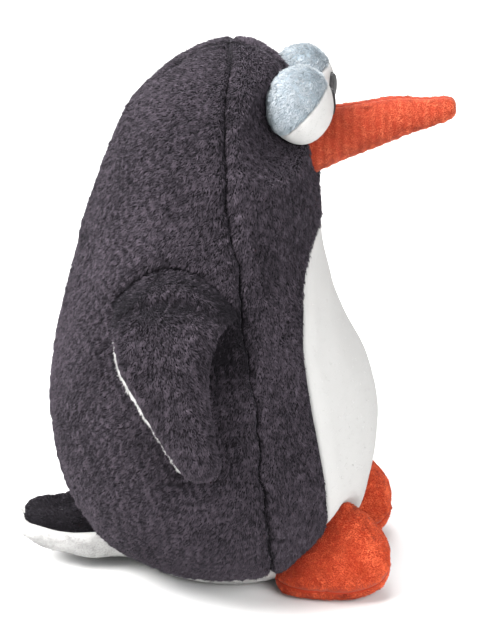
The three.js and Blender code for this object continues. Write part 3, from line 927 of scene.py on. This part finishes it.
def sew_pad(name, section, columns, rows, nodes, body, blend=None):
    """A stuffed pad: one closed cover, puffed up and then parted along its seam, and its filling."""
    def cover(u, v):
        return section(u * 2 * math.pi, v)

    def core(u, v):
        return pad_core(section, u * 2 * math.pi, v)

    whole = add_closed(f"{name}_whole", cover, columns, rows, seams=(0, 0.5, 1))
    puff_up(whole)
    filling = add_closed(f"{name}_filling", core, 48, 40)
    finish_filling(filling, [f"{name}_stuffing"], body, blend, inset=PAD_FILLING_INSET)
    upper = read(whole.data.attributes["first_half"].data, "value", 1, bool)[:, 0]
    deselect_all()
    under = copy_of(whole, f"{name}_{nodes[1]}_plush")
    for piece, unwanted in ((whole, ~upper), (under, upper)):
        delete_faces(piece, unwanted)
    whole.name = f"{name}_{nodes[0]}_plush"
    whole.data.name = whole.name
    return whole, under


def copy_of(piece, name):
    """A second piece with a mesh of its own."""
    copied = piece.copy()
    copied.data = piece.data.copy()
    copied.name = name
    copied.data.name = name
    bpy.context.scene.collection.objects.link(copied)
    return copied


def delete_faces(piece, unwanted):
    """Deletes the faces that are marked as unwanted."""
    activate(piece)
    edit(bpy.ops.mesh.select_mode, type="FACE")
    piece.data.polygons.foreach_set("select", unwanted)
    edit(bpy.ops.mesh.delete, type="FACE")


PUFF_SCALE = 8  # a pad is simulated at this size, because cloth behaves badly when it is tiny
PUFF_FRAMES = 14
PUFF_LIMIT = 1.2  # millimetres that the cover may move


def puff_up(piece):
    """Blows the cover up from inside, as its filling does, and lets the cloth settle in creases."""
    before = read_points(piece)
    write_points(piece, before * PUFF_SCALE)
    cloth = piece.modifiers.new("stuffed", "CLOTH")
    settings = cloth.settings
    settings.quality = 4
    settings.mass = 0.25
    settings.effector_weights.gravity = 0
    settings.use_pressure = True
    settings.uniform_pressure_force = 4
    settings.tension_stiffness = 12
    settings.compression_stiffness = 12
    settings.bending_stiffness = 0.3
    settings.shrink_min = -0.03
    cloth.collision_settings.use_collision = False
    cloth.collision_settings.use_self_collision = False
    for step in range(1, PUFF_FRAMES + 1):
        bpy.context.scene.frame_set(step)
    apply_modifier(piece, cloth)
    bpy.context.scene.frame_set(1)
    moved = read_points(piece) / PUFF_SCALE - before
    far = np.linalg.norm(moved, axis=1, keepdims=True)
    moved *= np.minimum(1, PUFF_LIMIT * MM / np.maximum(far, 1e-9))
    write_points(piece, before + moved)


def finish_filling(piece, nodes, body, blend=None, inset=FILLING_INSET):
    """Draws a closed form in from the inside of its cover, and makes it lumpy fibre."""
    points = read_points(piece) / MM
    lumps = 0.35 * waver(points, 6, 91) + 0.2 * waver(points, 2.5, 92)
    points -= read(piece.data.vertex_normals, "vector", 3) * (inset - np.minimum(lumps, 0.4))[:, None]
    write_points(piece, points * MM)
    piece.data.polygons.foreach_set("use_smooth", np.ones(len(piece.data.polygons), bool))
    piece.data.materials.clear()
    piece.data.materials.append(FIBRE)
    settle(piece, body, blend)
    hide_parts(*nodes)


def settle(piece, body, blend):
    """The piece moves with its body, or, where it is sewn on and given a blend, has its transform applied and
    is left without a parent.
    """
    if blend:
        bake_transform(piece)
    else:
        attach(piece, body)


# ---- wings ----

# Down from the shoulder: height, front edge, rear edge, distance out from x = 0.
WING_STATIONS = (
    (164, -8.7, 43, 53.5),
    (161.8, -8.5, 43.5, 61.5),
    (155, -6.5, 44.2, 67),
    (145, -3, 44, 70),
    (130, 1, 41.5, 76.5),
    (114, 0.5, 33.5, 80),
    (101, -1.5, 25.5, 81.5),
    (90, -2.5, 18, 82),
    (84, -1, 13.5, 82),
    (81, 4.5, 7.5, 82),
)
WING_THICKNESS = 6.4
WING_WRAP = 0.32  # radians that the white underside comes round the rear edge
WING_TUCK = 0.2  # radians that the dark outer side goes round the front edge
WING_BEND = (0.051, 0.070)  # x where a wing starts to turn and where it turns fully, in metres
FRINGE_TOP = 141  # the white fringe ends at this height


def wing_section(turn, v, side):
    """A wing's surface: turn goes from the front edge over the outer face and back underneath."""
    ragged = 1 + 0.3 * np.sin(v * 61) * np.sin(v * 37)
    tuck = WING_TUCK * (1 + 3 * smooth_step(v, 0.34, 0.2))
    wrap = WING_WRAP * ragged * smooth_step(v, 0.28, 0.55) - tuck * smooth_step(v, 0.4, 0.25)
    turn = turn - wrap * np.sin(turn / 2) ** 4 - tuck * np.cos(turn / 2) ** 4
    z, front, rear, out = through(WING_STATIONS, v * (len(WING_STATIONS) - 1)).T
    middle, half = (front + rear) / 2, (rear - front) / 2
    across = -np.cos(turn)  # -1 at the front edge, 1 at the rear one
    thin_tip = np.sqrt(np.clip(1 - v, 0, 1) * 5.5) + 0.02
    thick = WING_THICKNESS * np.minimum(1, np.minimum(0.35 + v * 2.2, thin_tip))
    lift = np.sign(np.sin(turn)) * np.abs(np.sin(turn)) ** 0.75 * thick
    y = middle + half * across
    arc = WING_ROOT["drop"] * across ** 2 * smooth_step(v, 0.42, 0.0)
    lean = np.radians(52) * smooth_step(v, 0.26, 0.02)
    x = out + lift * np.cos(lean)
    height = z - arc + lift * np.sin(lean)
    points = np.column_stack([x, y, height])
    # the sewn root hugs the body, whose surface falls away to the front and the back
    body_middle, deep, body_half = body_section(points[:, 2])
    inside = np.clip(1 - ((y - body_middle) / deep) ** 2, 0.02, 1)
    points[:, 0] -= smooth_step(v, 0.16, 0.0) * body_half * (1 - np.sqrt(inside))
    # a deep fold where the cloth turns down, and slack creases below it
    outer = np.sin(turn) > 0
    fold = hump(v - 0.205 - 0.03 * across ** 2, 0.045) * (1 - 0.7 * across ** 2)
    points[:, 0] -= 4.4 * fold * outer
    creases = 0.9 * waver(points, 18, 61) + 0.9 * hump(v - 0.42, 0.12)
    points[:, 0] += creases * smooth_step(v, 0.1, 0.3)
    points[:, 0] *= side
    return points


def wing_comb(points):
    """Down and back behind, turning down and forwards over the lower front."""
    forward = smooth_step(points[:, 1] - 0.35 * (points[:, 2] - 110), 34, 2)
    return np.column_stack([0 * points[:, 0], 0.75 - 1.3 * forward, -np.ones(len(points))])


def wing_tone(points):
    """Painted shade in the fold under the shoulder and along the root, and a painted highlight where it hangs
    free; the waver is a random tone.
    """
    across = points[:, 1] - WING_ROOT["y"]
    fold = hump(points[:, 2] - 156 + 0.007 * across ** 2, 4.5)
    root = hump(points[:, 2] - root_arc(points[:, 1]), 1.0)
    free = smooth_step(points[:, 2], 128, 95)
    # painted shade in the fold and along the root, painted highlight where the wing hangs free
    return 0.39 - 0.34 * fold - 0.3 * root + 0.04 * free + 0.05 * waver(points, 10, 62)


def make_wings():
    """Each wing's white underside shows as a fringe along its rear edge."""
    fringe = dict(WHITE_PILE, length=2.1, lean=46, density=6, width=0.34, clump_shading=1.2, roll=0.5)
    # a negative seam shading paints a highlight, a rim light, along the wing's edges
    cover = dict(LONG_PILE, painted_seam_shading=-0.24, seam_reach=3.5)
    for name, side in SIDES:
        body = f"wing_{name}"
        bend = [(side * x, 0.015, 0.161) for x in WING_BEND]
        outer, under = sew_pad(body, lambda turn, v: wing_section(turn, v, side), 84, 64,
                               ("outer", "underside"), body, bend)
        dress(outer, cover, wing_comb, wing_tone, DARK, body, [f"{body}_outer"], "dark_plush",
              seed=600 + side, blend=bend)
        dress(under, fringe, same_way(0, 1, -0.7), mottled(0.9, 0.08, 10, 63), WHITE, body,
              [f"{body}_underside"], "white_plush", keep=lambda p: p[:, 2] < FRINGE_TOP,
              seed=620 + side, blend=bend)


# ---- feet ----

FOOT_BEND = (-0.042, -0.062)  # y where a foot starts to turn and where it turns fully, in metres


def foot_section(turn, v, side):
    """A foot's surface: turn goes from the outer edge over the top and back underneath."""
    y = FOOT["toe"] + (FOOT["heel"] - FOOT["toe"]) * v
    top, half = foot_roof(v)
    bow = half / FOOT["half"]
    up = np.sin(turn)
    toe_lift = 6 * np.clip(1 - v / 0.36, 0, 1) ** 2
    seam = FOOT["seam"] + toe_lift
    low = (FOOT["seam"] - 0.6) * smooth_step(bow, 0, 0.6)
    rise = np.where(up > 0, np.abs(up) ** 0.66 * np.maximum(top - seam, 0) * smooth_step(bow, 0, 0.25),
                    -np.abs(up) ** 0.8 * low)
    # the ridge is pinched where it is gathered at the ankle
    pinch = 1 + 0.16 * np.clip(up, 0, 1) * smooth_step(v, 0.2, 0.5)
    x = FOOT["side"] + half * np.cos(turn) / pinch
    points = np.column_stack([side * x, y, seam + rise])
    # the stuffing rounds the toe out above its seam
    full = hump(points[:, 2] - 22, 13) * smooth_step(v, 0, 0.08)
    points[:, 1] -= 3.4 * full * smooth_step(v, 0.5, 0.1)
    points[:, 0] += side * np.cos(turn) * 1.2 * full
    groove = hump(np.sin(turn) * half, 1.1) * smooth_step(v, 0.15, 0.5)
    points[:, 0] -= side * np.cos(turn) * 1.0 * groove
    points[:, 2] += 0.5 * waver(points, 16, 71) * (up > 0)
    # two small tucks run down from the ankle
    for at, width in ((0.34, 1.3), (0.62, 1.5)):
        along = hump((v - at) * 50 - 6 * np.cos(turn), width)
        points[:, 2] -= 1.1 * along * np.clip(up, 0, 1) ** 6
    return points


def make_feet():
    """Each foot is a domed top and a sole."""
    for name, side in SIDES:
        body = f"foot_{name}"
        bend = [(side * 0.031, y, 0.02) for y in FOOT_BEND]
        top, sole = sew_pad(body, lambda turn, v: foot_section(turn, v, side), 84, 56, ("top", "sole"),
                            body, bend)
        for piece, face in ((top, "top"), (sole, "sole")):
            dress(piece, FOOT_PILE, same_way(0, -1, -0.5), mottled(0.42, 0.14, 7, 72), ORANGE, body,
                  [f"{body}_{face}"], "orange_plush", keep=lambda p: p[:, 2] > 0.25,
                  seed=700 + side, blend=bend)


# ---- tail ----

TAIL = {"root": 42, "tip": 93, "half": 20.5, "seam": 21, "crown": 4.5, "root_depth": 18, "tip_depth": 11}
TAIL_ROLL = 3.2  # how far the white underside bulges out past the dark top
TAIL_BEND = (0.056, 0.074)  # y where the tail starts to turn and where it turns fully, in metres


def tail_section(turn, v):
    """The tail's surface, from its tip at v = 0 into the body; turn starts at the left edge."""
    y = TAIL["tip"] - TAIL_ROLL * 0.6 + (TAIL["root"] - TAIL["tip"]) * v
    nose = np.clip(1 - (1 - v / 0.45) ** 2, 0, 1)
    half = (TAIL["half"] - TAIL_ROLL * 0.6) * np.where(v > 0.45, 1, np.sqrt(nose))
    tip = np.clip(np.sqrt(v * 5), 0, 1)
    depth = (TAIL["tip_depth"] + (TAIL["root_depth"] - TAIL["tip_depth"]) * np.minimum(1, v * 2)) * tip
    up = np.sin(turn)
    rise = np.where(up > 0, up * TAIL["crown"] * tip, -np.abs(up) ** 0.8 * depth)
    points = np.column_stack([half * np.cos(turn), y, TAIL["seam"] + rise])
    roll = TAIL_ROLL * np.sin(math.pi * np.clip(-up, 0, 1) ** 0.6) * (up < 0)
    front = smooth_step(v, 0.4, 0.02) * smooth_step(v, 0, 0.03)
    points[:, 0] += roll * np.cos(turn)
    points[:, 1] += roll * front * 1.3
    # the dark top is quilted down in the middle and puffs up round its rim
    hollow = hump(np.hypot(points[:, 0], (y - 72) * 0.8), 10)
    points[:, 2] -= 3.0 * hollow * (up > 0)
    points[:, 2] += 0.7 * waver(points, 11, 81)
    return points


def make_tail():
    """The white underside bulges out past the dark top."""
    bend = [(0, y, 0.024) for y in TAIL_BEND]
    comb = same_way(0, 1, -0.2)
    top, under = sew_pad("tail", tail_section, 80, 44, ("top", "underside"), "tail", bend)
    # painted shade: the tail's top and underside get far darker tones than the body's pile and the belly's
    dress(top, dict(LONG_PILE, stray=0.8, clump_shading=0.6), comb, mottled(0.02, 0.05, 8, 82), DARK, "tail",
          ["tail_top"], "dark_plush", seed=801, blend=bend)
    dress(under, dict(WHITE_PILE, length=1.3), comb, mottled(0.1, 0.1, 9, 83), WHITE, "tail",
          ["tail_underside"], "white_plush", keep=lambda p: p[:, 2] > 0.4, seed=802, blend=bend)


# ---- what is inside ----

POUCH_HOLLOW = {"radius": 31, "top": 28.5}


def make_fillings():
    """Fibre that fills the body, the eyes and the beak; the body's is hollowed for the pouch."""
    inset = CLOTH + 1.8
    foot_ring = 12.5  # height where the filling turns from its underside up the walls
    wide, roof = POUCH_HOLLOW["radius"], POUCH_HOLLOW["top"]

    def body_fill(u, v):
        angle = u * 2 * math.pi
        steps = (0, 0.10, 0.18, 0.26)
        radius = np.interp(v, steps, (0, wide, wide, wide + 4))
        height = np.interp(v, steps, (roof, roof, foot_ring - 3, foot_ring - 3))
        under = np.column_stack([radius * np.sin(angle), radius * np.cos(angle), height])
        z = foot_ring + (CROWN_Z - 3 - foot_ring) * np.clip((v - 0.30) / 0.68, 0, 1)
        walls = body_surface(angle, z, inset)
        result = np.where((v < 0.28)[:, None], under, walls)
        return np.where((v > 0.985)[:, None], (*CROWN, CROWN_Z - 3.5), result)

    body = add_closed("body_filling", body_fill, 96, 100)
    finish_filling(body, ["body_stuffing"], "body", inset=0)
    for name, side in SIDES:
        def ball(u, v):
            return eye_point(math.pi * v, u * 2 * math.pi, side)

        eye = add_closed(f"eye_{name}_filling", ball, 36, 24)
        finish_filling(eye, [f"eye_stuffing_{name}"], "body")

    def beak_fill(u, v):
        y, z, radius = beak_line(v)
        size = np.maximum(radius * (v > 0), 0.01)
        angle = u * 2 * math.pi
        return np.column_stack([size * np.sin(angle), y, z + size * np.cos(angle)])

    beak = add_closed("beak_filling", beak_fill, 36, 48)
    finish_filling(beak, ["beak_stuffing"], "body")


def finish_node(name, material):
    """Gives a node of the frame, which keeps its shape, its material."""
    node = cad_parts[name]
    node.data.materials.clear()
    node.data.materials.append(material)


# ---- putting it together ----

deselect_all()
add_camera()
add_studio()
make_body()
make_base()
make_eyes()
make_beak()
make_wings()
make_feet()
make_tail()
make_fillings()
finish_node("pellet_pouch", POUCH)
for side_name, _ in SIDES:
    finish_node(f"pupil_{side_name}", STITCHES)
